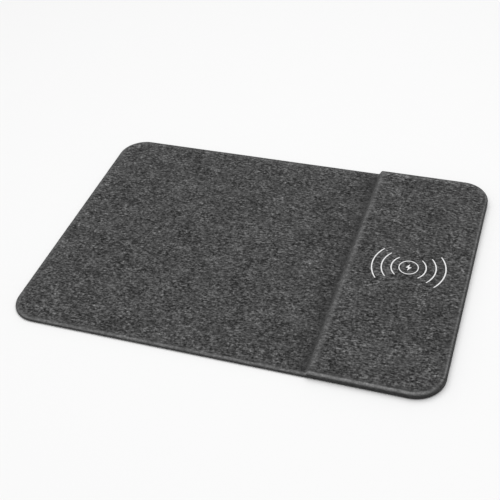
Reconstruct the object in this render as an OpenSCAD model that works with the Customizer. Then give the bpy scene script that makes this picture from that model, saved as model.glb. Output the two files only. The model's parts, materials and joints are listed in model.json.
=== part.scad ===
// Fabric-covered desk mat with a wireless charging strip along its right-hand end.
// Millimetres. +X runs along the mat towards the charging strip, +Y towards the back edge
// with the power inlet, +Z up. The origin is at the middle of the mat's footprint, on the desk.

/* [Mat] */
// Length of the mat along X
mat_l = 300; // [290:1:320]
// Depth of the mat along Y
mat_w = 215; // [212:1:235]
// Radius of the four corners, seen from above
corner_r = 20; // [17:0.5:23]
// Thickness of the mouse area
mouse_t = 2.7; // [2.7:0.1:3.1]
// Thickness of the charging strip
strip_t = 6.4; // [6.4:0.1:7.2]

/* [Cover] */
// Thickness of the cloth cover
cover_t = 0.4; // [0.35:0.05:0.45]
// Width of the hem that is turned under the edge
hem_w = 12; // [8:1:15]
// Rounding of the mouse area's upper edge
mouse_edge_r = 1; // [0.85:0.05:1.05]
// Rounding of the charging strip's upper edge
strip_edge_r = 1.4; // [1.2:0.1:1.4]
// Middle of the rounding at the foot of the steep ramp that leads up to the charging strip
ramp_foot_x = 64.8; // [64.4:0.1:65]
// Where the ramp's rounded top edge ends and the flat top of the charging strip starts
ramp_top_x = 67.1; // [66.9:0.1:67.8]

/* [Base] */
// Thickness of the rubber base
base_t = 0.6; // [0.55:0.05:0.65]
// How far the rubber base stays inside the mat's edge
base_inset = 2; // [1:0.5:4]

/* [Charger housing] */
// Thickness of the tray's floor
floor_t = 0.8; // [0.75:0.05:0.85]
// Thickness of the tray's walls
wall_t = 1.2; // [1:0.1:1.4]
// Thickness of the lid
lid_t = 0.8; // [0.75:0.05:0.85]
// Thickness of the stiffening ribs
rib_t = 1; // [0.8:0.1:1.2]

/* [Charging point] */
// X of the middle of the coil and of the printed symbol
charge_x = 108; // [107:0.5:110]
// Y of the middle of the coil and of the printed symbol
charge_y = 2; // [0:0.5:4]
// Diameter of the stranded coil wire
wire_d = 1.1; // [1:0.05:1.15]
// Number of turns in the coil
coil_turns = 10; // [8:1:11]
// Radius of the coil's innermost turn
coil_inner_r = 10.4; // [9.5:0.1:11]
// Side of the square ferrite shield
ferrite_side = 50; // [49:0.5:51]

/* [Printed symbol] */
// Width of the symbol's lines
line_w = 1.2; // [0.8:0.1:1.4]
// Radius of the ring round the lightning flash
ring_r = 6.6; // [6:0.1:7]

/* [Hidden] */
$fn = 64;
cut = 1;                    // how far a cutter runs past the face that it cuts
SIDES = [-1, 1];

// Layers, from the desk up
hem_z = base_t;                     // underside of the hem
core_z = hem_z + cover_t;           // underside of the core board and of the tray
floor_z = core_z + floor_t;         // inside floor of the tray
lid_top_z = strip_t - cover_t;
lid_z = lid_top_z - lid_t;          // underside of the lid

// Charger housing, in plan
glue_gap = 0.3;                     // room for glue between the cloth and the housing
tray_inset = cover_t + glue_gap;
tray_x = 69;                        // outer face of the tray's left wall
room_x = tray_x + wall_t;
back_y = mat_w / 2 - tray_inset - wall_t;   // inner face of the tray's back wall
lid_rebate = 1.1;                   // step round the lid's top edge, where the cloth turns over
board_back_y = back_y - 1.1;

// Housing screws: flat heads in the tray's floor, threads in bosses under the lid
tower_r = 3;
boss_r = 2.3;
screw_r = 0.98;
thread_r = 1;
clear_r = 1.2;
head_r = 1.85;
head_h = 1;
boss_joint_z = core_z + 2.4;
TOWERS = [
    [75, -95], [75, charge_y], [75, back_y - 14],
    [140, -92], [143, charge_y], [140, back_y - 14]
];

// Ribs across the tray, each side of the coil, and the two that run along it
CROSS_RIBS = [-86, -66, -46, -27, 31, 51, 71];
LONG_RIBS = [81, 135];
lead_gap_w = 16;                    // gap in the ribs that the coil's leads pass through
coil_frame_t = 0.8;
coil_frame_h = 1.2;

// Coil stack, hung from the lid down
tape_t = 0.3;
adhesive_t = 0.1;
ferrite_t = 1;
coil_top_z = lid_z - tape_t;
coil_z = coil_top_z - wire_d / 2;           // middle of the wire
ferrite_top_z = coil_top_z - wire_d - adhesive_t;
ferrite_z = ferrite_top_z - ferrite_t;
coil_pitch = wire_d + 0.08;
coil_outer_r = coil_inner_r + (coil_turns + 0.5) * coil_pitch;
bend_fullness = 1.06;               // thickness of a lead's bend over its thickness elsewhere
lead_slot_w = 1.8;                  // slot in the ferrite for the lead from the coil's inside
foam_side = ferrite_side - 1;

// Circuit board
board_t = 0.8;
standoff_h = 0.7;
board_w = 52;
board_d = 25;
board_x = charge_x - 28;
board_y = board_back_y - board_d;
board_z = floor_z + standoff_h;
board_top_z = board_z + board_t;
BOARD_HOLES = [[3, 4], [49, 4], [49, 21]];  // from the board's front left corner
board_hole_r = 1.2;
board_screw_head_r = 1.8;
board_screw_head_h = 0.7;
board_screw_depth = 1.3;

// USB-C receptacle, standard sizes
port_x = charge_x;
port_z = board_top_z + 0.18;
mouth_w = 8.34;
mouth_h = 2.56;
shell_t = 0.3;
shell_l = 7.35;
mouth_y = mat_w / 2 - 0.3;
shell_back_y = mouth_y - shell_l;
insulator_l = 1.6;
tongue_w = 6.69;
tongue_t = 0.54;
tongue_l = 4.45;
contact_t = 0.08;
contact_w = 0.25;
contact_pitch = 1;
CONTACTS = [0 : 7];

// Frame round the port, set into the cloth
bezel_w = 13;
bezel_h = 4.4;
bezel_t = 0.6;
cheek_w = 11.4;                    // across the two cheeks that reach into the housing's wall
cheek_h = 3.3;
bezel_fit = 0.05;

// Light beside the port
light_x = port_x + 12;
led_w = 3;
led_d = 1;
led_h = 1.1;
light_z = board_top_z + led_h / 2;
pipe_r = 1;
pipe_flange_r = 1.25;

// Symbol
mark_t = 0.08;                      // how deep the ink lies in the cloth's surface
bolt_h = 7.5;
bolt_w = 4.3;
ARCS = [[12, 47], [18.75, 39.5], [25.4, 37]];   // radius, and half of the angle it spans

// ---- Shapes used by several parts ----

// Outline of the mat from above, moved inwards by inset
module mat_outline(inset) {
    r = corner_r - inset;
    l = mat_l - 2 * inset;
    w = mat_w - 2 * inset;
    square([l - 2 * r, w], center = true);
    square([l, w - 2 * r], center = true);
    for (sx = SIDES, sy = SIDES)
        translate([sx * (l / 2 - r), sy * (w / 2 - r)]) circle(r);
}

module slab(inset, z0, z1) {
    translate([0, 0, z0]) linear_extrude(z1 - z0) mat_outline(inset);
}

// The part of a slab to the right of x0
module strip_slab(inset, x0, z0, z1) {
    intersection() {
        slab(inset, z0, z1);
        translate([x0, -mat_w, z0 - cut]) cube([mat_l, 2 * mat_w, z1 - z0 + 2 * cut]);
    }
}

// The part of a slab to the left of x1
module mouse_slab(inset, x1, z0, z1) {
    intersection() {
        slab(inset, z0, z1);
        translate([x1 - mat_l, -mat_w, z0 - cut]) cube([mat_l, 2 * mat_w, z1 - z0 + 2 * cut]);
    }
}

// One corner of the mat: upright below, rounded over at the top
module corner_post(inset, edge_r, z1) {
    r = corner_r - inset;
    z0 = hem_z + inset;
    translate([0, 0, z0]) cylinder(r = r, h = z1 - edge_r - z0, $fn = 32);
    translate([0, 0, z1 - edge_r])
        rotate_extrude($fn = 32) translate([r - edge_r, 0]) circle(edge_r, $fn = 32);
}

module mouse_form(inset) {
    hull()
        for (sx = SIDES, sy = SIDES)
            translate([sx * (mat_l / 2 - corner_r), sy * (mat_w / 2 - corner_r), 0])
                corner_post(inset, mouse_edge_r - inset, mouse_t - inset);
}

// A ball whose facets reach its full height, so that what rests on it stays level
module ball(r) {
    rotate_extrude($fn = 32) intersection() {
        circle(r, $fn = 32);
        translate([0, -r]) square([r, 2 * r]);
    }
}

// The charging strip with its ramp, which is tangent to a rounding at its foot and at its top
module strip_form(inset) {
    foot_r = mouse_edge_r - inset;
    top_r = strip_edge_r - inset;
    z0 = hem_z + inset;
    w = mat_w - 2 * inset;
    hull() {
        for (sy = SIDES) {
            translate([mat_l / 2 - corner_r, sy * (mat_w / 2 - corner_r), 0])
                corner_post(inset, top_r, strip_t - inset);
            translate([ramp_foot_x, sy * (mat_w / 2 - mouse_edge_r), mouse_t - mouse_edge_r])
                ball(foot_r);
            translate([ramp_top_x, sy * (mat_w / 2 - strip_edge_r), strip_t - strip_edge_r])
                ball(top_r);
        }
        translate([ramp_foot_x, -w / 2, z0]) cube([1, w, mouse_t - mouse_edge_r - z0]);
    }
}

// A slot-shaped bar along Y, as wide as w and as high as h, round at both sides
module port_bar(w, h, y0, y1) {
    translate([port_x, y1, port_z]) rotate([90, 0, 0]) linear_extrude(y1 - y0) {
        square([w - h, h], center = true);
        for (sx = SIDES) translate([sx * (w - h) / 2, 0]) circle(h / 2);
    }
}

module light_rod(r, y0, y1) {
    translate([light_x, y1, light_z]) rotate([90, 0, 0]) cylinder(r = r, h = y1 - y0);
}

// A soldered part: a body with a plated cap at each end
module two_ended(l, w, h) {
    cap = l / 5;
    cube([l - 2 * cap, w - 0.1, h - 0.05], center = true);
    for (sx = SIDES) translate([sx * (l - cap) / 2, 0, 0]) cube([cap, w, h], center = true);
}

// Puts a part of height h at a place on the board, turned by a
module on_board(place, h, a = 0) {
    translate([board_x + place[0], board_y + place[1], board_top_z + h / 2])
        rotate([0, 0, a]) children();
}

// A round wire through a list of points; its bends are a little fuller than the wire
module wire(points, d) {
    for (i = [0 : len(points) - 2]) {
        v = points[i + 1] - points[i];
        translate(points[i])
            rotate([0, acos(v[2] / norm(v)), atan2(v[1], v[0])])
                cylinder(d = d, h = norm(v));
    }
    for (i = [1 : len(points) - 2]) translate(points[i]) sphere(bend_fullness * d / 2);
}

// ---- The mat ----

module top_fabric() {
    color("#4a4b4d") difference() {
        union() {
            mouse_form(0);
            strip_form(0);
        }
        mouse_form(cover_t);
        strip_form(cover_t);
        slab(hem_w, hem_z - cut, core_z + 0.1);
        port_bar(bezel_w + 2 * bezel_fit, bezel_h + 2 * bezel_fit, back_y, mat_w / 2 + cut);
        light_rod(pipe_r + bezel_fit, back_y, mat_w / 2 + cut);
        mark_form();
    }
}

module core_board() {
    color("#a08c6c")
        mouse_slab(cover_t + mouse_edge_r * 0.8, ramp_foot_x - 0.9, core_z, mouse_t - cover_t);
}

// Foam bar that carries the cloth up the ramp and over its rounded top edge
module ramp_filler() {
    run = ramp_top_x - ramp_foot_x;
    rise = strip_t - strip_edge_r - mouse_t + mouse_edge_r;
    slope = atan2(rise, run) + asin((strip_edge_r - mouse_edge_r) / norm([run, rise]));
    under = [-sin(slope), cos(slope)];
    top_r = strip_edge_r - cover_t - 0.05;
    foot_r = mouse_edge_r - cover_t - 0.05;
    x0 = ramp_foot_x - 0.9;
    x1 = tray_x;
    z0 = core_z;
    foot = [ramp_foot_x, mouse_t - mouse_edge_r] + foot_r * under;
    edge = [ramp_top_x, strip_t - strip_edge_r];
    rounded = [for (i = [0 : 8]) let (a = 90 + slope * i / 8) edge + top_r * [cos(a), sin(a)]];
    half_w = mat_w / 2 - strip_edge_r - 0.2;
    color("#3a3a3c") translate([0, half_w, 0]) rotate([90, 0, 0]) linear_extrude(2 * half_w)
        polygon(concat([[x0, z0], [x1, z0], [x1, edge[1] + top_r]], rounded, [foot, [x0, foot[1]]]));
}

module base_adhesive_sheet() {
    color("#d8d2c0") slab(hem_w + 0.3, hem_z, core_z);
}

module base_sheet() {
    color("#1c1c1d") slab(base_inset, 0, base_t);
}

// ---- Charger housing ----

module screw_tower() {
    cylinder(r = tower_r, h = boss_joint_z - core_z);
}

module rib(x0, x1, y0, y1) {
    translate([x0, y0, floor_z]) cube([x1 - x0, y1 - y0, lid_z - floor_z]);
}

// Ribs stop short of the coil's leads, the coil itself and the circuit board
module tray_ribs() {
    intersection() {
        union() {
            for (y = CROSS_RIBS) {
                rib(room_x - 0.1, charge_x - lead_gap_w / 2, y, y + rib_t);
                rib(charge_x + lead_gap_w / 2, mat_l / 2, y, y + rib_t);
            }
            for (x = LONG_RIBS) rib(x - rib_t / 2, x + rib_t / 2, -mat_w / 2, board_y - 1);
        }
        strip_slab(tray_inset + wall_t / 2, tray_x, floor_z, lid_z);
    }
}

// Low square frame that keeps the ferrite in place, open where the leads pass
module coil_frame() {
    s = ferrite_side + 0.4;
    translate([charge_x, charge_y, floor_z + coil_frame_h / 2]) difference() {
        cube([s + 2 * coil_frame_t, s + 2 * coil_frame_t, coil_frame_h], center = true);
        cube([s, s, coil_frame_h + cut], center = true);
        translate([0, s / 2, 0]) cube([lead_gap_w, 4, coil_frame_h + cut], center = true);
    }
}

// Gap in the tray's back wall for the receptacle and its bezel, open towards the lid
module port_notch() {
    w = cheek_w + 2 * bezel_fit;
    port_bar(w, cheek_h + 2 * bezel_fit, back_y - cut, mat_w / 2);
    translate([port_x - w / 2, back_y - cut, port_z]) cube([w, wall_t + 2 * cut, lid_z]);
}

module charger_tray() {
    color("#2b2b2d") difference() {
        union() {
            difference() {
                strip_slab(tray_inset, tray_x, core_z, lid_z);
                strip_slab(tray_inset + wall_t, room_x, floor_z, lid_z + cut);
            }
            tray_ribs();
            coil_frame();
            for (p = TOWERS) translate([p[0], p[1], core_z]) screw_tower();
            for (p = BOARD_HOLES)
                translate([board_x + p[0], board_y + p[1], core_z])
                    cylinder(r = 2, h = board_z - core_z);
        }
        for (p = TOWERS) translate([p[0], p[1], core_z]) {
            translate([0, 0, -cut]) cylinder(r = clear_r, h = lid_z);
            cylinder(r1 = head_r + 0.1, r2 = clear_r, h = head_h);
        }
        for (p = BOARD_HOLES)
            translate([board_x + p[0], board_y + p[1], board_z - board_screw_depth])
                cylinder(r = thread_r, h = board_screw_depth + cut);
        port_notch();
        light_rod(pipe_r + bezel_fit, back_y - cut, mat_w / 2);
    }
}

// Short lugs under the lid that drop just inside the tray's straight walls
module lid_lugs() {
    lug_l = 14;
    lug_t = 0.9;
    lug_h = 0.9;
    gap = 0.15;
    for (y = [-76, -36, 40, 60])
        translate([room_x + gap, y - lug_l / 2, lid_z - lug_h]) cube([lug_t, lug_l, lug_h]);
    for (y = [-76, -36, 40, 60])
        translate([mat_l / 2 - tray_inset - wall_t - gap - lug_t, y - lug_l / 2, lid_z - lug_h])
            cube([lug_t, lug_l, lug_h]);
    for (x = [90, 118])
        translate([x, -back_y + gap, lid_z - lug_h]) cube([lug_l, lug_t, lug_h]);
}

module charger_lid() {
    color("#333336") difference() {
        union() {
            strip_slab(tray_inset, tray_x, lid_z, lid_z + lid_t / 2);
            strip_slab(tray_inset + lid_rebate, tray_x + 0.6, lid_z + lid_t / 2, lid_top_z);
            for (p = TOWERS)
                translate([p[0], p[1], boss_joint_z])
                    cylinder(r = boss_r, h = lid_z - boss_joint_z);
            lid_lugs();
        }
        for (p = TOWERS)
            translate([p[0], p[1], boss_joint_z - cut])
                cylinder(r = thread_r, h = lid_z - boss_joint_z + cut);
    }
}

// A flat-head screw, head down, with a cross recess
module flat_screw(l) {
    difference() {
        union() {
            cylinder(r1 = head_r, r2 = screw_r, h = head_h);
            cylinder(r = screw_r, h = l);
        }
        for (a = [0, 90]) rotate([0, 0, a]) cube([2, 0.4, 1], center = true);
    }
}

module housing_screws() {
    color("#9c9ea2") for (p = TOWERS) translate([p[0], p[1], core_z])
        flat_screw(lid_z - core_z - 0.1);
}

// ---- Coil stack ----

// A square sheet under the coil with a slot for the inner lead, towards the board
module coil_sheet(side, z0, z1) {
    translate([charge_x, charge_y, z0]) difference() {
        translate([-side / 2, -side / 2, 0]) cube([side, side, z1 - z0]);
        translate([-lead_slot_w / 2, coil_inner_r - 2.5, -cut])
            cube([lead_slot_w, side, z1 - z0 + 2 * cut]);
    }
}

module coil_foam_pad() {
    color("#6d6f73") coil_sheet(foam_side, floor_z, ferrite_z);
}

module ferrite_shield() {
    color("#3b3d40") coil_sheet(ferrite_side, ferrite_z, ferrite_top_z);
}

// Flat ring of double-sided adhesive, open over the lead's slot
module adhesive_ring(z0, z1) {
    translate([charge_x, charge_y, z0]) difference() {
        cylinder(r = coil_outer_r, h = z1 - z0);
        translate([0, 0, -cut]) cylinder(r = coil_inner_r - 0.4, h = z1 - z0 + 2 * cut);
        translate([-lead_slot_w / 2, 0, -cut]) cube([lead_slot_w, 2 * coil_outer_r, 3]);
    }
}

module coil_adhesive_ring() {
    color("#c9b98f") adhesive_ring(ferrite_top_z, ferrite_top_z + adhesive_t);
}

// Half a turn of wire on the side of +Y or, with flip, on the side of -Y
module half_turn(r, flip) {
    rotate([0, 0, flip ? 180 : 0])
        rotate_extrude(angle = 180) translate([r, 0]) circle(d = wire_d, $fn = 32);
}

// One layer of turns: half circles about two centres half a pitch apart make the spiral
module transmit_coil() {
    color("#b5652f") translate([charge_x, charge_y, coil_z])
        for (i = [0 : coil_turns - 1]) {
            r = coil_inner_r + wire_d / 2 + i * coil_pitch;
            half_turn(r, false);
            translate([coil_pitch / 2, 0, 0]) half_turn(r + coil_pitch / 2, true);
        }
}

module coil_tape() {
    color("#b08a3c") translate([charge_x, charge_y, coil_top_z])
        cylinder(r = coil_outer_r, h = tape_t);
}

// The coil's two ends, led back to the board: the inner one drops into the ferrite's slot
module coil_leads() {
    slot_z = ferrite_z + wire_d / 2;
    pad_z = board_top_z + bend_fullness * wire_d / 2;
    pad_y = board_y + 3;
    color("#a85a2a") {
        wire([
            [charge_x, charge_y + coil_inner_r - 1.2, coil_z],
            [charge_x, charge_y + coil_inner_r - 1.2, slot_z],
            [charge_x, board_y - 4, slot_z],
            [charge_x, pad_y - 3, pad_z],
            [charge_x, pad_y, pad_z]
        ], wire_d);
        wire([
            [charge_x + 5, charge_y + coil_outer_r + 1.2, coil_z],
            [charge_x + 5, board_y - 6, coil_z],
            [charge_x + 5, pad_y - 3, pad_z],
            [charge_x + 5, pad_y, pad_z]
        ], wire_d);
    }
}

// Temperature bead beside the coil's outer turn, with its two thin leads
module coil_thermistor() {
    bead = [charge_x - 4.5, charge_y + coil_outer_r + 1.4, ferrite_top_z + 0.6];
    pad = [bead[0], board_y + 2, board_top_z + 0.3];
    color("#20211f") {
        translate(bead) cube([2.4, 1.4, 1.2], center = true);
        for (sx = SIDES) wire([bead + [sx * 0.6, 0.5, 0], pad + [sx * 0.6, 0, 0]], 0.5);
    }
}

// ---- Circuit board ----

module main_board() {
    notch_w = mouth_w + 2 * shell_t + 0.3;
    notch_y = shell_back_y - 0.35;
    color("#1f5a34") difference() {
        translate([board_x, board_y, board_z]) cube([board_w, board_d, board_t]);
        for (p = BOARD_HOLES)
            translate([board_x + p[0], board_y + p[1], board_z - cut])
                cylinder(r = board_hole_r, h = board_t + 2 * cut);
        translate([port_x - notch_w / 2, notch_y, board_z - cut])
            cube([notch_w, shell_l, board_t + 2 * cut]);
    }
}

module board_screws() {
    color("#a9abae") for (p = BOARD_HOLES)
        translate([board_x + p[0], board_y + p[1], 0]) difference() {
            union() {
                translate([0, 0, board_top_z])
                    cylinder(r = board_screw_head_r, h = board_screw_head_h);
                translate([0, 0, board_z - board_screw_depth + 0.1])
                    cylinder(r = screw_r, h = board_screw_depth + board_t);
            }
            translate([0, 0, board_top_z + board_screw_head_h])
                for (a = [0, 90]) rotate([0, 0, a]) cube([2, 0.4, 0.7], center = true);
        }
}

module controller_chip() {
    h = 0.9;
    color("#151617") on_board([30, 9], h) {
        cube([6, 6, h], center = true);
        for (i = [-3 : 3], a = [0, 90, 180, 270])
            rotate([0, 0, a]) translate([3.1, i * 0.7, -h / 2 + 0.1])
                cube([0.3, 0.3, 0.2], center = true);
    }
}

module bridge_transistors() {
    h = 0.8;
    color("#1b1c1e") for (p = [[19, 7], [19, 12], [14, 7], [14, 12]]) on_board(p, h)
        cube([3.3, 3.3, h], center = true);
}

module resonance_capacitors() {
    h = 1.5;
    color("#b59a6a") for (i = [0 : 3]) on_board([7 + i * 4.6, 18], h, 90)
        two_ended(4.5, 3.2, h);
}

module filter_capacitors() {
    h = 1.1;
    color("#a88f66") {
        for (i = [0 : 2]) on_board([37.5, 5 + i * 2.6], h) two_ended(3.2, 1.6, h);
        for (i = [0 : 2]) on_board([43, 8.5 + i * 2.6], h) two_ended(2, 1.25, h);
    }
}

module small_resistors() {
    h = 0.45;
    color("#17181a") {
        for (i = [0 : 4]) on_board([35 + i * 2.6, 16], h, 90) two_ended(1.6, 0.8, h);
        for (i = [0 : 2]) on_board([37.6 + i * 2.6, 18.8], h, 90) two_ended(1.6, 0.8, h);
    }
}

module sense_resistor() {
    h = 0.6;
    color("#22252a") on_board([8, 10], h, 90) two_ended(6.3, 3.1, h);
}

// ---- Power inlet ----

// Steel tube of the receptacle, with an ear on each side that is soldered to the board
module usb_shell() {
    w = mouth_w + 2 * shell_t;
    h = mouth_h + 2 * shell_t;
    ear_y = shell_back_y + 1;
    color("#c3c5c8") {
        difference() {
            port_bar(w, h, shell_back_y, mouth_y);
            port_bar(mouth_w, mouth_h, shell_back_y - cut, mouth_y + cut);
        }
        for (sx = SIDES)
            translate([port_x + sx * (w / 2 + 0.4), ear_y + 1.2, board_top_z + shell_t / 2])
                cube([1.4, 2.4, shell_t], center = true);
    }
}

// One contact strip: along the tongue, through the insulator and back to the board.
// row is 1 for the strips above the tongue and -1 for those below it.
module usb_contact(i, row) {
    x = port_x + (i - 3.5) * contact_pitch + row * contact_pitch / 4;
    z = port_z + row * (tongue_t + contact_t) / 2;
    front_y = shell_back_y + insulator_l + tongue_l - 0.4;
    pad_z = board_top_z + contact_t / 2;
    tail_y = shell_back_y - 0.2;
    translate([x, (front_y + tail_y) / 2, z])
        cube([contact_w, front_y - tail_y, contact_t], center = true);
    translate([x, tail_y, (z + pad_z) / 2])
        cube([contact_w, contact_t, abs(z - pad_z) + contact_t], center = true);
    translate([x, tail_y - 0.5, pad_z]) cube([contact_w, 1, contact_t], center = true);
}

module usb_contacts() {
    color("#d4a94a") for (i = CONTACTS, row = SIDES) usb_contact(i, row);
}

module usb_insulator() {
    color("#1a1a1b") difference() {
        union() {
            port_bar(mouth_w, mouth_h, shell_back_y, shell_back_y + insulator_l);
            translate([port_x, shell_back_y + insulator_l + tongue_l / 2, port_z])
                cube([tongue_w, tongue_l, tongue_t], center = true);
        }
        for (row = SIDES)
            translate([port_x, shell_back_y, port_z + row * (tongue_t + contact_t) / 2])
                for (i = CONTACTS)
                    translate([(i - 3.5) * contact_pitch + row * contact_pitch / 4, 0, 0])
                        cube([contact_w, 2 * insulator_l + cut, contact_t], center = true);
    }
}

module port_bezel() {
    opening_w = mouth_w + 2 * shell_t + 0.2;
    opening_h = mouth_h + 2 * shell_t + 0.2;
    face_y = mat_w / 2;
    color("#141415") difference() {
        union() {
            port_bar(bezel_w, bezel_h, face_y - bezel_t, face_y);
            port_bar(cheek_w, cheek_h, back_y, face_y - bezel_t / 2);
        }
        port_bar(opening_w, opening_h, back_y - cut, face_y + cut);
    }
}

module status_led() {
    color("#e8e6d8") translate([light_x, board_back_y - led_d / 2, light_z])
        difference() {
            cube([led_w, led_d, led_h], center = true);
            translate([0, led_d / 2, 0]) cube([led_w - 1.2, 0.4, led_h - 0.4], center = true);
        }
}

// Clear rod that carries the light out through the back edge
module light_pipe() {
    color("#e9eef0", 0.6) {
        light_rod(pipe_r, back_y - 0.5, mat_w / 2);
        light_rod(pipe_flange_r, back_y - 0.8, back_y);
    }
}

// ---- Printed symbol ----

module ring_arc(r, half_angle) {
    rotate([0, 0, -half_angle]) rotate_extrude(angle = 2 * half_angle)
        translate([r - line_w / 2, 0]) square([line_w, mark_t]);
    for (s = SIDES) rotate([0, 0, s * half_angle]) translate([r, 0, 0])
        cylinder(d = line_w, h = mark_t);
}

// Lightning flash, the same when turned half round
module bolt() {
    w = bolt_w / 2;
    h = bolt_h / 2;
    linear_extrude(mark_t)
        polygon([[0.25 * w, h], [-w, -0.12 * h], [-0.1 * w, -0.12 * h],
                 [-0.25 * w, -h], [w, 0.12 * h], [0.1 * w, 0.12 * h]]);
}

// Ring round a lightning flash with three arcs on each side, flush with the cloth
module mark_form() {
    translate([charge_x, charge_y, strip_t - mark_t]) {
        difference() {
            cylinder(r = ring_r + line_w / 2, h = mark_t);
            translate([0, 0, -cut]) cylinder(r = ring_r - line_w / 2, h = mark_t + 2 * cut);
        }
        bolt();
        for (a = ARCS, turn = [0, 180]) rotate([0, 0, turn]) ring_arc(a[0], a[1]);
    }
}

module printed_mark() {
    color("#f2f2f2") mark_form();
}

top_fabric();
core_board();
ramp_filler();
base_adhesive_sheet();
base_sheet();
charger_tray();
charger_lid();
housing_screws();
coil_foam_pad();
ferrite_shield();
coil_adhesive_ring();
transmit_coil();
coil_tape();
coil_leads();
coil_thermistor();
main_board();
board_screws();
controller_chip();
bridge_transistors();
resonance_capacitors();
filter_capacitors();
small_resistors();
sense_resistor();
usb_shell();
usb_insulator();
usb_contacts();
port_bezel();
status_led();
light_pipe();
printed_mark();
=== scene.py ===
"""Looks of a fabric-covered desk mat with a wireless charging strip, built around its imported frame.

Everything is in metres in the frame's own axes: +X towards the charging strip, +Y to the back, +Z up.
"""

import json
import math

import bmesh
import bpy
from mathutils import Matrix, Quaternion, Vector, noise


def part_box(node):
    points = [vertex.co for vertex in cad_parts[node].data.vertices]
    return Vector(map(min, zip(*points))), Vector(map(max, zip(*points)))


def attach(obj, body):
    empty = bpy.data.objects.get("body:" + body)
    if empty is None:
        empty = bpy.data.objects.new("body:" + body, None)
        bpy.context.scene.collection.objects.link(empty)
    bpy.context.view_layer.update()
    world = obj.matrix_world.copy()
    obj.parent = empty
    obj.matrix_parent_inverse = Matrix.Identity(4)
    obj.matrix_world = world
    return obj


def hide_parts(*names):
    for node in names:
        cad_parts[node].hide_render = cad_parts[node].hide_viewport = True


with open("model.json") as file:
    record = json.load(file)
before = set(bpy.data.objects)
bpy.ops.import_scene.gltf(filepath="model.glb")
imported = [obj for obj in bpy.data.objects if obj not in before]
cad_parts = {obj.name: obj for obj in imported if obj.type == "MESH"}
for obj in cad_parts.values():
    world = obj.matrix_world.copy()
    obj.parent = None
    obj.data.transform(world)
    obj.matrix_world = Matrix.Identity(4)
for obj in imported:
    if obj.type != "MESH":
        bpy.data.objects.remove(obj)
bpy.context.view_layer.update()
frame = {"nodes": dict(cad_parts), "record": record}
MM = 0.001

# ---- Sizes, read from the frame ----

COVER_LOW, COVER_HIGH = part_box("top_fabric")
HALF_L, HALF_W = COVER_HIGH.x, COVER_HIGH.y
HEM_Z, STRIP_Z = COVER_LOW.z, COVER_HIGH.z
COVER_T = STRIP_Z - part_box("charger_lid")[1].z
MOUSE_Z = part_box("core_board")[1].z + COVER_T
HEM_W = HALF_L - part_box("base_adhesive_sheet")[1].x
MARK_LOW, MARK_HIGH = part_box("printed_mark")
CHARGE = (MARK_LOW + MARK_HIGH) / 2
CORNER_R = 20 * MM
MOUSE_EDGE_R = 1.7 * MM
STRIP_EDGE_R = 2.1 * MM
HEM_EDGE_R = 0.6 * MM


# ---- Camera, light and floor ----

def add_camera():
    """The view from the front, 22 degrees to the right and 41 degrees up, rolled by 5 degrees."""
    azimuth, elevation, roll = math.radians(21.81), math.radians(41.30), math.radians(5.208)
    target = Vector((-0.0073, -0.0005, 0))
    distance, lens = 0.6945, 68.8
    away = Vector((
        math.sin(azimuth) * math.cos(elevation),
        -math.cos(azimuth) * math.cos(elevation),
        math.sin(elevation),
    ))
    data = bpy.data.cameras.new("camera")
    data.sensor_width = 36
    data.lens = lens
    camera = bpy.data.objects.new("camera", data)
    camera.location = target + distance * away
    camera.rotation_mode = "QUATERNION"
    camera.rotation_quaternion = away.to_track_quat("Z", "Y") @ Quaternion((0, 0, 1), -roll)
    bpy.context.scene.collection.objects.link(camera)
    bpy.context.scene.camera = camera


def add_area_light(name, place, size, power):
    """A square softbox at place, turned to the mat."""
    data = bpy.data.lights.new(name, "AREA")
    data.shape = "SQUARE"
    data.size = size
    data.energy = power
    light = bpy.data.objects.new(name, data)
    light.location = place
    light.rotation_mode = "QUATERNION"
    light.rotation_quaternion = Vector(place).to_track_quat("Z", "Y")
    bpy.context.scene.collection.objects.link(light)


def add_world(strength):
    world = bpy.data.worlds.new("studio")
    world.use_nodes = True
    background = world.node_tree.nodes["Background"]
    background.inputs["Color"].default_value = (1, 1, 1, 1)
    background.inputs["Strength"].default_value = strength
    bpy.context.scene.world = world


# ---- Meshes ----

def new_piece(name, mesh, material, body="root"):
    piece = bpy.data.objects.new(name, mesh)
    mesh.materials.append(material)
    bpy.context.scene.collection.objects.link(piece)
    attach(piece, body)
    return piece


def spread(low, high, step, wanted=()):
    """Numbers from low to high about a step apart, with those nearest the wanted ones moved onto them."""
    count = max(1, round((high - low) / step))
    values = [low + (high - low) * i / count for i in range(count + 1)]
    for w in wanted:
        nearest = min(range(len(values)), key=lambda i: abs(values[i] - w))
        values[nearest] = w
    return values


def rounded_point(x, y, half_x, half_y, radius):
    """Moves a point of a square-cornered grid onto one with round corners, evenly."""
    over_x, over_y = abs(x) - (half_x - radius), abs(y) - (half_y - radius)
    if over_x <= 0 or over_y <= 0:
        return x, y
    u, v = over_x / radius, over_y / radius
    rx = half_x - radius + radius * u * math.sqrt(1 - v * v / 2)
    ry = half_y - radius + radius * v * math.sqrt(1 - u * u / 2)
    return math.copysign(rx, x), math.copysign(ry, y)


def outward(x, y, half_x, half_y, radius):
    """The outline's outward direction at a point on it."""
    dx = abs(x) - (half_x - radius)
    dy = abs(y) - (half_y - radius)
    if dx > 1e-7 and dy > 1e-7:
        d = Vector((math.copysign(dx, x), math.copysign(dy, y)))
        return d.normalized()
    if dx > dy:
        return Vector((math.copysign(1, x), 0))
    return Vector((0, math.copysign(1, y)))


def ring_of(grid):
    """The grid's outermost vertices in order, from its first corner."""
    return (
        grid[0][:-1]
        + [column[-1] for column in grid[:-1]]
        + grid[-1][:0:-1]
        + [column[0] for column in grid[:0:-1]]
    )


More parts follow.
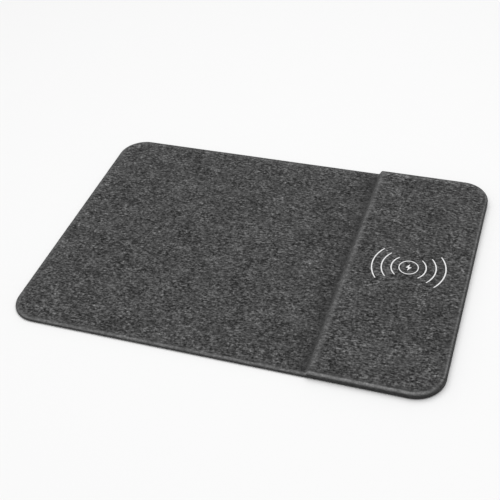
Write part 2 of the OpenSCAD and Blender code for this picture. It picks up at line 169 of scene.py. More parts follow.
def join_rings(bm, inner, outer):
    faces = []
    for i in range(len(inner)):
        j = (i + 1) % len(inner)
        faces.append(bm.faces.new((inner[i], outer[i], outer[j], inner[j])))
    return faces


# ---- The cloth cover ----

RAMP_FOOT_X = 64.2 * MM
RAMP_SLOPE = math.radians(61)
RAMP_FOOT_R = 0.8 * MM
RAMP_TOP_R = 1.7 * MM
RUN = (STRIP_Z - MOUSE_Z) / math.tan(RAMP_SLOPE)
OVER_STEP = (STRIP_Z - MOUSE_Z) / math.sin(RAMP_SLOPE) - RUN
# Millimetres added to places in the cloth's pattern, so that the origin that its noises share is off the mat
CUT_PLACE = (430, 310)



def ramp_height(x):
    """Height of the cloth across the step: level, a hollow bend, a slope, a full bend and level again."""
    s = RAMP_SLOPE
    foot_reach = RAMP_FOOT_R * math.tan(s / 2)
    top_reach = RAMP_TOP_R * math.tan(s / 2)
    foot, top = RAMP_FOOT_X, RAMP_FOOT_X + RUN
    if x <= foot - foot_reach:
        return MOUSE_Z
    if x >= top + top_reach:
        return STRIP_Z
    if x < foot + foot_reach * math.cos(s):
        d = x - (foot - foot_reach)
        return MOUSE_Z + RAMP_FOOT_R - math.sqrt(RAMP_FOOT_R**2 - d * d)
    if x > top - top_reach * math.cos(s):
        d = top + top_reach - x
        return STRIP_Z - RAMP_TOP_R + math.sqrt(RAMP_TOP_R**2 - d * d)
    return MOUSE_Z + (x - foot) * math.tan(s)


def relief(x, y):
    """Unevenness of the laid cloth: long waves, and the lumps of its yarns."""
    waves = noise.noise(Vector((x / (34 * MM), y / (34 * MM), 0.5)))
    lumps = noise.noise(Vector((x / (2.6 * MM), y / (2.6 * MM), 4.5)))
    return (0.05 * waves + 0.035 * lumps - 0.05) * MM


def cover_height(x, y):
    return ramp_height(x) + relief(x, y)


def strip_share(top):
    return (top - MOUSE_Z) / (STRIP_Z - MOUSE_Z)


def bend_radius(top):
    return MOUSE_EDGE_R + strip_share(top) * (STRIP_EDGE_R - MOUSE_EDGE_R)


def edge_profile(top):
    """(inset, height) pairs from the top, over the edge, down the side and under to the hem's cut edge."""
    r = bend_radius(top)
    points = [(inset * MM, top) for inset in (4.6, 4.2, 3.8, 3.4, 3.0, 2.6)]
    for degrees in range(0, 91, 10):
        a = math.radians(degrees)
        points.append((r - r * math.sin(a), top - r + r * math.cos(a)))
    side_top, side_low = top - r, HEM_Z + HEM_EDGE_R
    for part in (0.14, 0.29, 0.58, 0.84, 1):
        points.append((0, side_top + (side_low - side_top) * part))
    for degrees in (30, 60, 90):
        a = math.radians(degrees)
        points.append((HEM_EDGE_R - HEM_EDGE_R * math.cos(a), side_low - HEM_EDGE_R * math.sin(a)))
    for inset in (1.5 * MM, 3 * MM, 6 * MM, 9 * MM, HEM_W):
        points.append((inset, HEM_Z))
    return points


def blend_points(value, points):
    """Height at value of a line through (place, height) points."""
    for (x0, y0), (x1, y1) in zip(points, points[1:]):
        if value < x1:
            return y0 + (y1 - y0) * max(0, (value - x0) / (x1 - x0))
    return points[-1][1]


# A painted highlight along each edge, where the cloth bends, in millimetres along the cloth from its
# outermost line: (middle, reach inwards, reach outwards, gain) over the thin part, then over the strip.
# The front one is the strongest, standing in for the light that the front bend catches.
EDGE_HIGHLIGHTS = {
    "front": ((2.0, 2.0, 1.4, 1.5), (1.45, 1.3, 2.3, 3.1)),
    "side": ((3.0, 2.2, 2.1, 0.6), (2.7, 0.9, 1.0, 1.3)),
    "back": ((4.3, 3.2, 3.0, 0.42), (5.1, 2.0, 3.0, 0.75)),
}


# Painted shade: how much darker the cloth is towards the foot of its side, and outside the painted highlight
# at the strip's end
SIDE_PAINTED_SHADE = 0.62
BAND_PAINTED_SHADE = 0.5
# How much of the heather is lost where the cloth is stretched over the step
CALM_STEP = 0.7
# An edge's painted highlight this light hides the step's painted shadow and highlight where it crosses them
LINE_SHOWS = 1.1


def edge_distance(inset, drop, r):
    """Distance along the cloth from its outermost line: inwards over the bend, or below 0 down the side."""
    if drop > r:
        return r - drop
    if inset > r:
        return inset + (math.pi / 2 - 1) * r
    return r * math.acos(1 - inset / r)


def painted_highlight_line(distance, middle, inwards, outwards, gain):
    """Painted highlight across one edge line, fading smoothly to 1 on both sides."""
    away = distance - middle
    share = away / (inwards if away > 0 else outwards)
    return 1 + gain * max(0, 1 - share**2) ** 2


def painted_edge_highlight(distance, way, share):
    """Painted highlight across the edge that faces way. share is 0 over the thin part and 1 over the strip.
    """
    weights = {"front": max(0, -way.y) ** 2, "side": way.x**2, "back": max(0, way.y) ** 2}
    tone = 0
    for name, weight in weights.items():
        low, high = (painted_highlight_line(distance / MM, *line) for line in EDGE_HIGHLIGHTS[name])
        tone += weight * (low + share * (high - low))
    return tone


def step_painted_light(x):
    """Painted light across the step: a painted shadow up to its foot, a painted highlight along its upper
    edge.
    """
    past = (x - RAMP_FOOT_X - RUN) / MM
    return blend_points(past, ((-21, 1), (-3, 0.68), (-1, 1.1), (1.1, 1.75), (2.0, 1.75), (4.2, 1)))


def step_calm(x):
    """How much of the heather is lost: the most from the step's foot to just past its upper edge."""
    past = (x - RAMP_FOOT_X - RUN) / MM
    return CALM_STEP * blend_points(past, ((-6, 0), (-3, 1), (2.2, 1), (4.2, 0)))


def laid_x(x):
    """Place along the cloth as it lay flat. The step takes more cloth than it spans."""
    return x + OVER_STEP * strip_share(ramp_height(x))


def inset_of(x, y):
    """How far inside the mat's outline a point is."""
    dx, dy = abs(x) - (HALF_L - CORNER_R), abs(y) - (HALF_W - CORNER_R)
    if dx > 0 and dy > 0:
        return CORNER_R - math.hypot(dx, dy)
    return CORNER_R - max(dx, dy)


def top_look(x, y):
    """(painted light and shade, smoothness) of the cloth at a place on the top."""
    top = ramp_height(x)
    way = outward(x, y, HALF_L, HALF_W, CORNER_R)
    edge_highlight = painted_edge_highlight(edge_distance(inset_of(x, y), 0, bend_radius(top)), way, strip_share(top))
    return edge_highlight * step_painted_light(x), step_calm(x)


def rim_look(x, inset, drop, way, top):
    """(painted light and shade, smoothness) of the cloth on the edge, its side and its hem."""
    share = strip_share(top)
    distance = edge_distance(inset, drop, bend_radius(top))
    edge_highlight = painted_edge_highlight(distance, way, share)
    # The step's painted shadow and painted highlight, faded in over the first millimetres of the edge
    step = 1 + (step_painted_light(x) - 1) * blend_points(distance / MM, ((0, 0), (3, 1)))
    outside_line = blend_points(distance / MM, ((0.9, 1), (2.1, 0)))
    # Painted shade: darker towards the foot of the side, and on the strip's end outside its highlight
    painted_shade = 1 - SIDE_PAINTED_SHADE * max(0, drop / (top - HEM_Z)) ** 1.3
    painted_shade *= 1 - BAND_PAINTED_SHADE * way.x**2 * share * outside_line
    painted_light_and_shade = max(edge_highlight, step) if edge_highlight > LINE_SHOWS else step * edge_highlight
    smoothness = blend_points(distance / MM, ((1.5, 1), (2.9, 0.8), (4.5, 0.35), (6, 0)))
    return painted_light_and_shade * painted_shade, max(smoothness, step_calm(x))


def port_opening():
    """The hole in the cloth, small enough for the bezel's round ends to cover: (low corner, high corner)."""
    low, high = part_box("port_bezel")
    margin = Vector((1.3 * MM, 0, 0.25 * MM))
    return low + margin, high - margin


def make_cover(material):
    """One sheet: a grid over the top whose corners are rounded, then rows round the edge and under it."""
    inset = 5 * MM
    step = 1.25 * MM
    half_x, half_y, radius = HALF_L - inset, HALF_W - inset, CORNER_R - inset
    port_low, port_high = port_opening()
    ramp_start, ramp_end = RAMP_FOOT_X - 2 * MM, RAMP_FOOT_X + 6.5 * MM
    xs = (
        spread(-half_x, ramp_start, step)[:-1]
        + spread(ramp_start, ramp_end, 0.35 * MM)[:-1]
        + spread(ramp_end, half_x, step, (port_low.x, port_high.x))
    )
    ys = spread(-half_y, half_y, step)
    bm = bmesh.new()
    flat = bm.verts.layers.float_vector.new("cloth_mm")
    # The tone attribute holds the cloth's painted highlights and painted shade
    tone = bm.verts.layers.float.new("tone")
    worn = bm.verts.layers.float.new("worn")

    def vertex(place, laid, painted_light_and_shade, smoothness):
        v = bm.verts.new(place)
        v[flat] = Vector((CUT_PLACE[0] + laid[0] / MM, CUT_PLACE[1] + laid[1] / MM, 0))
        v[tone] = painted_light_and_shade
        v[worn] = smoothness
        return v

    grid = []
    for x in xs:
        column = []
        for y in ys:
            px, py = rounded_point(x, y, half_x, half_y, radius)
            column.append(vertex((px, py, cover_height(px, py)), (laid_x(px), py), *top_look(px, py)))
        grid.append(column)
    for i in range(len(xs) - 1):
        for j in range(len(ys) - 1):
            bm.faces.new((grid[i][j], grid[i + 1][j], grid[i + 1][j + 1], grid[i][j + 1]))

    start = ring_of(grid)
    ways = [outward(v.co.x, v.co.y, half_x, half_y, radius) for v in start]
    tops = [ramp_height(v.co.x) for v in start]
    profiles = [edge_profile(top) for top in tops]
    length = [0.0] * len(start)
    last = start
    before = [(inset, top) for top in tops]
    side_faces = []
    for k in range(len(profiles[0])):
        row = []
        for i, v in enumerate(start):
            inward, z = profiles[i][k]
            length[i] += math.dist((inward, z), before[i])
            before[i] = (inward, z)
            x = v.co.x + ways[i].x * (inset - inward)
            y = v.co.y + ways[i].y * (inset - inward)
            lift = relief(x, y) * min(1, max(0, (z - HEM_Z) / (1.5 * MM)))
            laid = (laid_x(v.co.x) + ways[i].x * length[i], v.co.y + ways[i].y * length[i])
            look = rim_look(x, inward, tops[i] - z, ways[i], tops[i])
            row.append(vertex((x, y, z + lift), laid, *look))
        side_faces += join_rings(bm, last, row)
        last = row

    in_port = []
    for face in side_faces:
        middle = face.calc_center_median()
        at_back = middle.y > HALF_W - 1 * MM
        if at_back and port_low.x < middle.x < port_high.x and port_low.z < middle.z < port_high.z:
            in_port.append(face)
    bmesh.ops.delete(bm, geom=in_port, context="FACES")
    bmesh.ops.recalc_face_normals(bm, faces=bm.faces)
    mesh = bpy.data.meshes.new("cover")
    bm.to_mesh(mesh)
    bm.free()
    mesh.shade_smooth()
    piece = new_piece("cloth_cover", mesh, material)
    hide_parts("top_fabric")


# ---- The printed symbol ----

RING_R = 6.6 * MM
RING_W = 0.85 * MM
LINE_W = 1.14 * MM
ARCS = ((12 * MM, 47), (18.75 * MM, 39.5), (25.4 * MM, 37))
PRINT_T = 0.05 * MM


def print_vertex(bm, x, y, sunk=False):
    px, py = CHARGE.x + x, CHARGE.y + y
    z = cover_height(px, py) + (-PRINT_T if sunk else PRINT_T)
    return bm.verts.new((px, py, z))


def print_line(bm, radius, start, end, width, closed=False):
    """A line of ink along an arc, a little thinner to its round ends, and a little uneven in width."""
    step = 0.35 * MM
    span = radius * (end - start)
    cap = 0 if closed else width / 2
    count = round((span + 2 * cap) / step)
    rows = []
    for i in range(count + (0 if closed else 1)):
        s = -cap + (span + 2 * cap) * i / count
        beyond = max(0.0, -s, s - span)
        half = max(math.sqrt(max(0.0, (width / 2) ** 2 - beyond**2)), 0.02 * MM)
        if not closed:
            half *= blend_points(min(s, span - s) / MM, ((0, 0.72), (3.5, 1)))
        a = start + s / radius
        row = []
        for across in (-1, -0.5, 0, 0.5, 1):
            wobble = 1 + 0.08 * noise.noise(Vector((s / (0.8 * MM), across * 5, radius / MM)))
            r = radius + half * across * wobble
            row.append(print_vertex(bm, r * math.cos(a), r * math.sin(a), abs(across) == 1))
        rows.append(row)
    pairs = list(zip(rows, rows[1:] + (rows[:1] if closed else [])))
    for near, far in pairs[: len(rows) - (0 if closed else 1)]:
        for k in range(4):
            bm.faces.new((near[k], near[k + 1], far[k + 1], far[k]))


def print_bolt(bm):
    """The lightning flash, the same when turned half round."""
    w, h = 2.0 * MM, 3.5 * MM
    half = ((0.25 * w, h), (-w, -0.12 * h), (-0.1 * w, -0.12 * h))
    outline = half + tuple((-x, -y) for x, y in half)
    points = [print_vertex(bm, x, y) for x, y in outline]
    bm.faces.new(points)


def make_mark(material):
    bm = bmesh.new()
    print_line(bm, RING_R, 0, 2 * math.pi, RING_W, closed=True)
    print_bolt(bm)
    for radius, degrees in ARCS:
        half = math.radians(degrees)
        for turn in (0, math.pi):
            print_line(bm, radius, turn - half, turn + half, LINE_W)
    bmesh.ops.triangulate(bm, faces=[f for f in bm.faces if len(f.verts) > 4])
    bmesh.ops.recalc_face_normals(bm, faces=bm.faces)
    mesh = bpy.data.meshes.new("mark")
    bm.to_mesh(mesh)
    bm.free()
    mesh.shade_smooth()
    piece = new_piece("printed_symbol", mesh, material)
    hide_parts("printed_mark")


# ---- The rubber base ----

def make_base(material):
    """A sheet with rounded edges and a waffle of small raised squares on its underside."""
    low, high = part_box("base_sheet")
    tread = 0.25 * MM
    pitch = 4 * MM
    radius = CORNER_R - (HALF_L - high.x)
    inset = 1 * MM
    half_x, half_y = high.x - inset, high.y - inset
    xs = spread(-half_x, half_x, 1.0 * MM)
    ys = spread(-half_y, half_y, 1.0 * MM)
    bm = bmesh.new()

    def tread_z(x, y):
        wave = math.sin(math.pi * (x + y) / pitch) * math.sin(math.pi * (x - y) / pitch)
        return low.z + tread * (0.5 - 0.5 * max(-1, min(1, 2.2 * wave)))

    grid = []
    for x in xs:
        column = []
        for y in ys:
            px, py = rounded_point(x, y, half_x, half_y, radius - inset)
            column.append(bm.verts.new((px, py, tread_z(px, py))))
        grid.append(column)
    for i in range(len(xs) - 1):
        for j in range(len(ys) - 1):
            bm.faces.new((grid[i][j], grid[i][j + 1], grid[i + 1][j + 1], grid[i + 1][j]))
    start = ring_of(grid)
    ways = [outward(v.co.x, v.co.y, half_x, half_y, radius - inset) for v in start]
    last = start
    for inward, part in ((0.7, 0.2), (0.3, 0.25), (0.08, 0.4), (0, 0.65), (0, 1), (4, 1)):
        row = []
        for i, v in enumerate(start):
            out = inset - inward * MM
            row.append(bm.verts.new((v.co.x + ways[i].x * out, v.co.y + ways[i].y * out, part * high.z)))
        join_rings(bm, last, row)
        last = row
    bmesh.ops.recalc_face_normals(bm, faces=bm.faces)
    mesh = bpy.data.meshes.new("base")
    bm.to_mesh(mesh)
    bm.free()
    mesh.shade_smooth()
    piece = new_piece("rubber_base", mesh, material)
    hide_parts("base_sheet")


# ---- Materials ----

class Paint:
    """A material with a Principled shader, and short ways to add nodes to it."""

    def __init__(self, name, rough, metal=0.0, specular=0.5):
        self.material = bpy.data.materials.new(name)
        self.material.use_nodes = True
        self.tree = self.material.node_tree
        self.shader = self.tree.nodes["Principled BSDF"]
        self.shader.inputs["Roughness"].default_value = rough
        self.shader.inputs["Metallic"].default_value = metal
        self.shader.inputs["Specular IOR Level"].default_value = specular

    def set(self, **values):
        for name, value in values.items():
            self.shader.inputs[name.replace("_", " ")].default_value = value

    def link(self, source, target):
        self.tree.links.new(source, target)

    def node(self, kind, settings=None, inputs=None):
        made = self.tree.nodes.new("ShaderNode" + kind)
        for name, value in (settings or {}).items():
            setattr(made, name, value)
        for name, value in (inputs or {}).items():
            if isinstance(value, bpy.types.NodeSocket):
                self.link(value, made.inputs[name])
            else:
                made.inputs[name].default_value = value
        return made

    def math(self, operation, *values):
        made = self.node("Math", {"operation": operation}, dict(enumerate(values)))
        return made.outputs[0]

    def places(self):
        """The surface's places in the object's own axes, in millimetres."""
        raw = self.node("TexCoord").outputs["Object"]
        return self.node("VectorMath", {"operation": "SCALE"}, {0: raw, "Scale": 1 / MM}).outputs[0]

    def stretched(self, places, x, y, z=1.0):
        return self.node("VectorMath", {"operation": "MULTIPLY"}, {0: places, 1: (x, y, z)}).outputs[0]

    def noise(self, places, size, detail=0.0, rough=0.5):
        """Noise whose lumps are about size millimetres across."""
        made = self.node(
            "TexNoise", {}, {"Vector": places, "Scale": 1 / size, "Detail": detail, "Roughness": rough}
        )
        return made.outputs["Fac"]

    def ramp(self, value, stops, smooth=False):
        made = self.node("ValToRGB", {}, {"Fac": value})
        band = made.color_ramp
        band.interpolation = "EASE" if smooth else "LINEAR"
        while len(band.elements) < len(stops):
            band.elements.new(0.5)
        for element, (place, colour) in zip(band.elements, stops):
            element.position = place
            element.color = (*colour, 1) if len(colour) == 3 else colour
        return made.outputs["Color"]

    def colour(self, socket):
        self.link(socket, self.shader.inputs["Base Color"])

    def bump(self, height, depth_mm, strength=1.0):
        made = self.node(
            "Bump", {}, {"Height": height, "Distance": depth_mm * MM, "Strength": strength}
        )
        self.link(made.outputs["Normal"], self.shader.inputs["Normal"])


def grey(value):
    return (value, value, value)


YARN_PITCH = 0.75          # millimetres between yarns
CLOTH_ALBEDO = 0.0612
CLOTH_CONTRAST = 3.12


def weave(paint, places):
    """A plain weave: (height from 0 to 1, which yarns are on top, yarn numbers across and along)."""
    parts = paint.node("SeparateXYZ", {}, {0: places})
    u = paint.math("DIVIDE", parts.outputs[0], YARN_PITCH)
    v = paint.math("DIVIDE", parts.outputs[1], YARN_PITCH)
    i, j = paint.math("FLOOR", u), paint.math("FLOOR", v)
    over = paint.math("PINGPONG", paint.math("ADD", i, j), 1)
    across_u = paint.math("ABSOLUTE", paint.math("SINE", paint.math("MULTIPLY", u, math.pi)))
    across_v = paint.math("ABSOLUTE", paint.math("SINE", paint.math("MULTIPLY", v, math.pi)))
    along_x = paint.math("MULTIPLY", across_v, paint.math("SQRT", across_u))
    along_y = paint.math("MULTIPLY", across_u, paint.math("SQRT", across_v))
    mixed = paint.node("Mix", {"data_type": "FLOAT"}, {"Factor": over, "A": along_x, "B": along_y})
    return mixed.outputs["Result"], over, (u, v, i, j)


def cloth_paint():
    """Heather cloth: yarns spun from dark and light fibres, in short dashes along each yarn."""
    paint = Paint("heather_cloth", rough=0.95, specular=0.25)
    paint.set(Sheen_Weight=0.08, Sheen_Roughness=0.4)
    laid = paint.node("Attribute", {"attribute_name": "cloth_mm"}).outputs["Vector"]
    # tone: painted highlights and painted shade, multiplied into the colour
    painted_light_and_shade = paint.node("Attribute", {"attribute_name": "tone"}).outputs["Fac"]
    worn = paint.node("Attribute", {"attribute_name": "worn"}).outputs["Fac"]
    drift = paint.node("VectorMath", {"operation": "SCALE"}, {
        0: paint.node("TexNoise", {}, {"Vector": laid, "Scale": 0.3}).outputs["Color"], "Scale": 1.2,
    }).outputs[0]
    places = paint.node("VectorMath", {"operation": "ADD"}, {0: laid, 1: drift}).outputs[0]
    height, over, (u, v, i, j) = weave(paint, places)
    dash_x = paint.node("CombineXYZ", {}, {
        0: paint.math("MULTIPLY", u, 0.36), 1: paint.math("MULTIPLY", j, 3.7), 2: 1.5}).outputs[0]
    dash_y = paint.node("CombineXYZ", {}, {
        0: paint.math("MULTIPLY", i, 3.7), 1: paint.math("MULTIPLY", v, 0.42), 2: 7.5}).outputs[0]
    yarn = paint.node("Mix", {"data_type": "FLOAT"}, {
        "Factor": over, "A": paint.noise(dash_x, 1, 1), "B": paint.noise(dash_y, 1, 1)}).outputs["Result"]
    parts = (
        (0.5, yarn),
        (1.0, paint.noise(paint.stretched(places, 0.42, 1.0), 1.0)),
        (0.4, paint.noise(paint.stretched(places, 1.0, 0.5), 0.9)),
        (0.6, paint.noise(places, 1.3)),
        (0.17, paint.noise(places, 7)),
        (0.2, paint.noise(places, 20)),
    )
    total = 0.0
    for weight, value in parts:
        total = paint.math("MULTIPLY_ADD", value, weight, total)
    spread_out = paint.math("SUBTRACT", total, sum(weight for weight, _ in parts) / 2)
    calm = paint.math("MULTIPLY_ADD", worn, -0.7, 1.0)
    patchy = paint.math("MULTIPLY_ADD", paint.noise(places, 11), 0.9, 0.55)
    lumps = paint.math("MULTIPLY", spread_out, calm)
    uneven = paint.math("MULTIPLY", lumps, patchy)
    contrast = paint.math("MULTIPLY", uneven, CLOTH_CONTRAST / 3)
    level = paint.math("MAXIMUM", paint.math("ADD", contrast, 1.0), 0.3)
    albedo = paint.math("MULTIPLY", paint.math("POWER", level, 3), CLOTH_ALBEDO)
    # Painted shade: the colour is darker where the weave dips between yarns
    gaps = paint.math("MINIMUM", paint.math("MULTIPLY_ADD", height, 1.5, 0.4), 1.0)
    shade = paint.math("MULTIPLY", paint.math("MULTIPLY", albedo, painted_light_and_shade), gaps)
    paint.colour(shade)
    fuzz = paint.noise(places, 0.28, 2, 0.7)
    rise = paint.math("ADD", paint.math("MULTIPLY", height, 0.7), paint.math("MULTIPLY", fuzz, 0.5))
    paint.bump(paint.math("ADD", rise, lumps), 0.12, 0.9)
    return paint.material


def print_paint():
    """White ink on cloth: it breaks up a little where the yarns dip."""
    paint = Paint("white_print", rough=0.55, specular=0.4)
    places = paint.places()
    height, _, _ = weave(paint, places)
    worn = paint.noise(places, 0.5, 2, 0.65)
    cover = paint.math("ADD", paint.math("MULTIPLY", height, 0.35), worn)
    paint.colour(paint.ramp(cover, ((0.3, grey(0.34)), (0.42, grey(0.62)), (0.6, grey(0.8)))))
    paint.bump(height, 0.05, 0.6)
    return paint.material


def rubber_paint(name, tone, size=0.6):
    """Dull rubber or foam: fine pores and a faint bloom."""
    paint = Paint(name, rough=0.85, specular=0.3)
    places = paint.places()
    bloom = paint.noise(places, 18, 3)
    pores = paint.noise(places, size, 3, 0.7)
    mixed = paint.math("ADD", paint.math("MULTIPLY", bloom, 0.5), paint.math("MULTIPLY", pores, 0.5))
    paint.colour(paint.ramp(mixed, ((0.3, grey(tone * 0.7)), (0.7, grey(tone * 1.4)))))
    paint.bump(pores, 0.06, 0.7)
    return paint.material


def plastic_paint(name, colour, rough=0.5, grain=0.35):
    """Moulded plastic with spark-eroded grain and a slightly uneven sheen."""
    paint = Paint(name, rough=rough, specular=0.5)
    places = paint.places()
    fine = paint.noise(places, grain, 2, 0.6)
    broad = paint.noise(places, 9, 2)
    dark = tuple(c * 0.82 for c in colour)
    light = tuple(min(1, c * 1.2) for c in colour)
    paint.colour(paint.ramp(broad, ((0.3, dark), (0.7, light))))
    shine = paint.node("MapRange", {}, {
        "Value": fine, "From Min": 0.3, "From Max": 0.7, "To Min": rough - 0.08, "To Max": rough + 0.1})
    paint.link(shine.outputs["Result"], paint.shader.inputs["Roughness"])
    paint.bump(fine, 0.02, 0.5)
    return paint.material


def metal_paint(name, colour, rough=0.3, along=(0.08, 1.0)):
    """Drawn or plated metal: long fine lines and a little tarnish."""
    paint = Paint(name, rough=rough, metal=1.0)
    places = paint.places()
    lines = paint.noise(paint.stretched(places, *along), 0.12, 2, 0.6)
    tarnish = paint.noise(places, 3, 3)
    dark = tuple(c * 0.72 for c in colour)
    paint.colour(paint.ramp(tarnish, ((0.32, dark), (0.6, colour))))
    shine = paint.node("MapRange", {}, {
        "Value": lines, "From Min": 0.3, "From Max": 0.7, "To Min": rough * 0.7, "To Max": rough * 1.5})
    paint.link(shine.outputs["Result"], paint.shader.inputs["Roughness"])
    paint.bump(lines, 0.008, 0.5)
    return paint.material


def board_paint():
    """Grey board pressed from mixed fibres."""
    paint = Paint("grey_board", rough=0.9, specular=0.2)
    places = paint.places()
    fibres = paint.noise(paint.stretched(places, 0.4, 1.0), 0.8, 3, 0.7)
    flecks = paint.noise(places, 1.6, 4, 0.8)
    mixed = paint.math("MULTIPLY", paint.math("ADD", fibres, flecks), 0.5)
    paint.colour(paint.ramp(mixed, (
        (0.32, (0.16, 0.14, 0.11)), (0.46, (0.38, 0.34, 0.27)), (0.66, (0.52, 0.47, 0.38)))))
    paint.bump(fibres, 0.05, 0.6)
    return paint.material


def paper_paint():
    """Double-sided adhesive on a pale liner with faint creases."""
    paint = Paint("adhesive_paper", rough=0.45, specular=0.45)
    places = paint.places()
    creases = paint.noise(places, 14, 4, 0.6)
    speckle = paint.noise(places, 0.7, 2)
    mixed = paint.math("MULTIPLY", paint.math("ADD", creases, speckle), 0.5)
    paint.colour(paint.ramp(mixed, ((0.35, (0.66, 0.6, 0.48)), (0.65, (0.86, 0.82, 0.71)))))
    paint.bump(creases, 0.12, 0.4)
    return paint.material


def laminate_paint():
    """Green circuit board: solder mask over copper, whose tracks show as lighter bands."""
    paint = Paint("circuit_laminate", rough=0.32, specular=0.5)
    places = paint.places()
    tracks = paint.node("TexVoronoi", {"feature": "DISTANCE_TO_EDGE", "distance": "MANHATTAN"} , {
        "Vector": places, "Scale": 0.32, "Randomness": 0.6}).outputs["Distance"]
    weave_fill = paint.noise(places, 0.5, 1)
    paint.colour(paint.ramp(tracks, (
        (0.0, (0.012, 0.075, 0.032)), (0.10, (0.014, 0.085, 0.036)), (0.14, (0.03, 0.16, 0.07)),
        (1.0, (0.035, 0.18, 0.08)))))
    rise = paint.math("ADD", paint.math("MULTIPLY", tracks, 1.0), paint.math("MULTIPLY", weave_fill, 0.2))
    paint.bump(rise, 0.03, 0.5)
    return paint.material


def ceramic_paint(name, colour, rough=0.4):
    """Sintered ceramic: fine grain with a few darker specks."""
    paint = Paint(name, rough=rough, specular=0.5)
    places = paint.places()
    grain = paint.noise(places, 0.25, 2, 0.6)
    specks = paint.noise(places, 1.1, 4, 0.8)
    mixed = paint.math("MULTIPLY", paint.math("ADD", grain, specks), 0.5)
    dark = tuple(c * 0.6 for c in colour)
    light = tuple(min(1, c * 1.3) for c in colour)
    paint.colour(paint.ramp(mixed, ((0.34, dark), (0.5, colour), (0.68, light))))
    paint.bump(grain, 0.012, 0.5)
    return paint.material


def tape_paint():
    """Amber film over a thin foam, a little wrinkled."""
    paint = Paint("polyimide_tape", rough=0.25, specular=0.5)
    places = paint.places()
    wrinkles = paint.noise(places, 5, 3, 0.5)
    paint.colour(paint.ramp(wrinkles, ((0.3, (0.34, 0.16, 0.02)), (0.7, (0.58, 0.33, 0.07)))))
    paint.bump(wrinkles, 0.05, 0.5)
    return paint.material


def clear_paint():
    """Clear moulded plastic with faint flow lines."""
    paint = Paint("clear_plastic", rough=0.12, specular=0.5)
    paint.set(Transmission_Weight=0.9, IOR=1.49)
    places = paint.places()
    flow = paint.noise(paint.stretched(places, 1.0, 0.2), 0.6, 2)
    paint.colour(paint.ramp(flow, ((0.3, (0.86, 0.9, 0.92)), (0.7, (0.95, 0.97, 0.98)))))
    paint.bump(flow, 0.01, 0.3)
    return paint.material


def floor_paint():
    paint = Paint("pale_floor", rough=0.9, specular=0.1)
    paint.set(Base_Color=(0.86, 0.86, 0.86, 1))
    return paint.material


PAINTS = {
    "heather_cloth": cloth_paint(),
    "grey_board": board_paint(),
    "black_foam": rubber_paint("black_foam", 0.03, 0.9),
    "grey_foam": rubber_paint("grey_foam", 0.16, 0.9),
    "adhesive_paper": paper_paint(),
    "base_rubber": rubber_paint("base_rubber", 0.012),
    "housing_plastic": plastic_paint("housing_plastic", (0.02, 0.02, 0.022)),
    "screw_steel": metal_paint("screw_steel", (0.62, 0.63, 0.65), 0.28),
    "ferrite": ceramic_paint("ferrite", (0.035, 0.037, 0.042), 0.5),
    "polyimide_tape": tape_paint(),
    "copper_wire": metal_paint("copper_wire", (0.78, 0.36, 0.16), 0.34, (1.0, 1.0)),
    "bead_epoxy": plastic_paint("bead_epoxy", (0.016, 0.016, 0.014), 0.25, 0.5),
    "circuit_laminate": laminate_paint(),
    "chip_epoxy": plastic_paint("chip_epoxy", (0.018, 0.018, 0.02), 0.55, 0.12),
    "capacitor_ceramic": ceramic_paint("capacitor_ceramic", (0.42, 0.28, 0.14)),
    "resistor_ceramic": ceramic_paint("resistor_ceramic", (0.02, 0.022, 0.026), 0.35),
    "shell_steel": metal_paint("shell_steel", (0.72, 0.73, 0.75), 0.22, (1.0, 0.08)),
    "insulator_plastic": plastic_paint("insulator_plastic", (0.014, 0.014, 0.014), 0.45, 0.2),
    "contact_gold": metal_paint("contact_gold", (0.86, 0.62, 0.24), 0.2, (1.0, 0.1)),
    "bezel_plastic": plastic_paint("bezel_plastic", (0.016, 0.016, 0.017), 0.48, 0.25),
    "led_package": plastic_paint("led_package", (0.78, 0.77, 0.68), 0.35, 0.2),
    "clear_plastic": clear_paint(),
    "white_print": print_paint(),
}


def paint_cad_nodes():
    """Gives each CAD node the material of its slot."""
    slots = {s["node"]: s["material_slot"] for s in frame["record"]["subparts"]}
    for name, node in frame["nodes"].items():
        for slot in node.material_slots:
            slot.material = PAINTS[slots[name]]


# ---- The port's bezel and the light pipe ----

def cloth_lean(z):
    """How far the strip's side has bent in at a height."""
    up = max(0, z - (STRIP_Z - STRIP_EDGE_R))
    return STRIP_EDGE_R - math.sqrt(STRIP_EDGE_R**2 - up**2)


def stadium(bm, width, height, centre, y, leans=False, count=12):
    """A loop of vertices round a slot shape across Y, flat or leaning in as the cloth's side does."""
    r = height / 2
    loop = []
    for side in (1, -1):
        for k in range(count + 1):
            a = math.radians(-90 + 180 * k / count)
            x = side * ((width / 2 - r) + r * math.cos(a))
            z = side * r * math.sin(a)
            lean = cloth_lean(centre.z + z) if leans else 0
            loop.append(bm.verts.new((centre.x + x, y - lean, centre.z + z)))
    return loop


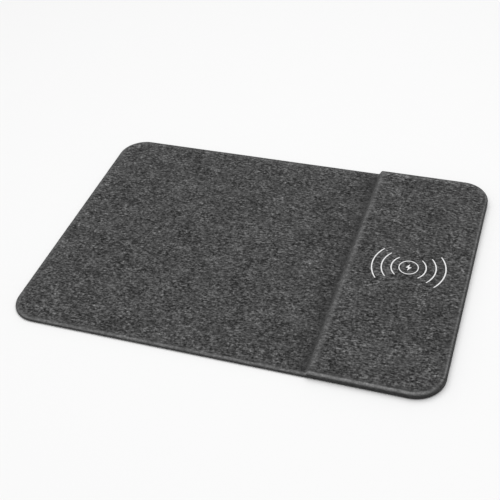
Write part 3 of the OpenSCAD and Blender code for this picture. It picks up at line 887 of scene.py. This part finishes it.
def make_bezel(material):
    """The bezel's flange with a rounded rim and a throat that leads to the receptacle."""
    low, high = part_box("port_bezel")
    centre = (low + high) / 2
    wide, tall = high.x - low.x, high.z - low.z
    open_w, open_h = 9.2 * MM, 3.4 * MM
    proud = 0.12 * MM
    face = high.y + proud
    bm = bmesh.new()
    loops = [
        stadium(bm, wide - 0.2 * MM, tall - 0.2 * MM, centre, low.y + 0.6 * MM),
        stadium(bm, wide, tall, centre, high.y - 0.4 * MM, True),
        stadium(bm, wide, tall, centre, high.y + 0.02 * MM, True),
        stadium(bm, wide - 0.12 * MM, tall - 0.12 * MM, centre, face - 0.05 * MM, True),
        stadium(bm, wide - 0.36 * MM, tall - 0.36 * MM, centre, face, True),
        stadium(bm, open_w + 0.4 * MM, open_h + 0.4 * MM, centre, face, True),
        stadium(bm, open_w + 0.12 * MM, open_h + 0.12 * MM, centre, face - 0.06 * MM, True),
        stadium(bm, open_w, open_h, centre, face - 0.2 * MM, True),
        stadium(bm, open_w, open_h, centre, low.y),
        stadium(bm, wide - 0.2 * MM, open_h + 0.3 * MM, centre, low.y),
    ]
    for near, far in zip(loops, loops[1:] + loops[:1]):
        join_rings(bm, near, far)
    bmesh.ops.recalc_face_normals(bm, faces=bm.faces)
    mesh = bpy.data.meshes.new("bezel")
    bm.to_mesh(mesh)
    bm.free()
    mesh.shade_smooth()
    piece = new_piece("port_surround", mesh, material)
    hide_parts("port_bezel")


def make_light_pipe(material):
    """A round clear rod with a domed end, and a flange inside the housing."""
    low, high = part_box("light_pipe")
    centre = (low + high) / 2
    flange_r = (high.x - low.x) / 2
    rod_r = 1.0 * MM
    dome = 0.25 * MM
    profile = [(0, low.y), (flange_r, low.y), (flange_r, low.y + 0.8 * MM), (rod_r, low.y + 0.8 * MM),
               (rod_r, high.y), (rod_r * 0.92, high.y + dome * 0.4),
               (rod_r * 0.6, high.y + dome * 0.8), (0, high.y + dome)]
    bm = bmesh.new()
    rings = []
    for r, y in profile:
        count = 32 if r else 1
        rings.append([
            bm.verts.new((centre.x + r * math.cos(2 * math.pi * k / 32), y,
                          centre.z + r * math.sin(2 * math.pi * k / 32)))
            for k in range(count)
        ])
    for near, far in zip(rings, rings[1:]):
        if len(near) == 1 or len(far) == 1:
            tip, loop = (near[0], far) if len(near) == 1 else (far[0], near)
            for k in range(32):
                bm.faces.new((tip, loop[k], loop[(k + 1) % 32]))
        else:
            join_rings(bm, near, far)
    bmesh.ops.recalc_face_normals(bm, faces=bm.faces)
    mesh = bpy.data.meshes.new("light_pipe")
    bm.to_mesh(mesh)
    bm.free()
    piece = new_piece("light_rod", mesh, material)
    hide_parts("light_pipe")


FLOOR_GAP = 0.02 * MM      # keeps the floor and the base's tread apart


def make_floor():
    bm = bmesh.new()
    bmesh.ops.create_grid(bm, x_segments=4, y_segments=4, size=4)
    mesh = bpy.data.meshes.new("floor")
    bm.to_mesh(mesh)
    bm.free()
    floor = bpy.data.objects.new("floor", mesh)
    floor.location.z = -FLOOR_GAP
    mesh.materials.append(floor_paint())
    bpy.context.scene.collection.objects.link(floor)


add_camera()
add_world(0.42)
add_area_light("overhead_softbox", (0.05, 0.05, 1.7), 2.4, 33.5)
bpy.context.scene.view_settings.view_transform = "Standard"

make_floor()
paint_cad_nodes()
make_cover(PAINTS["heather_cloth"])
make_mark(PAINTS["white_print"])
make_base(PAINTS["base_rubber"])
make_bezel(PAINTS["bezel_plastic"])
make_light_pipe(PAINTS["clear_plastic"])
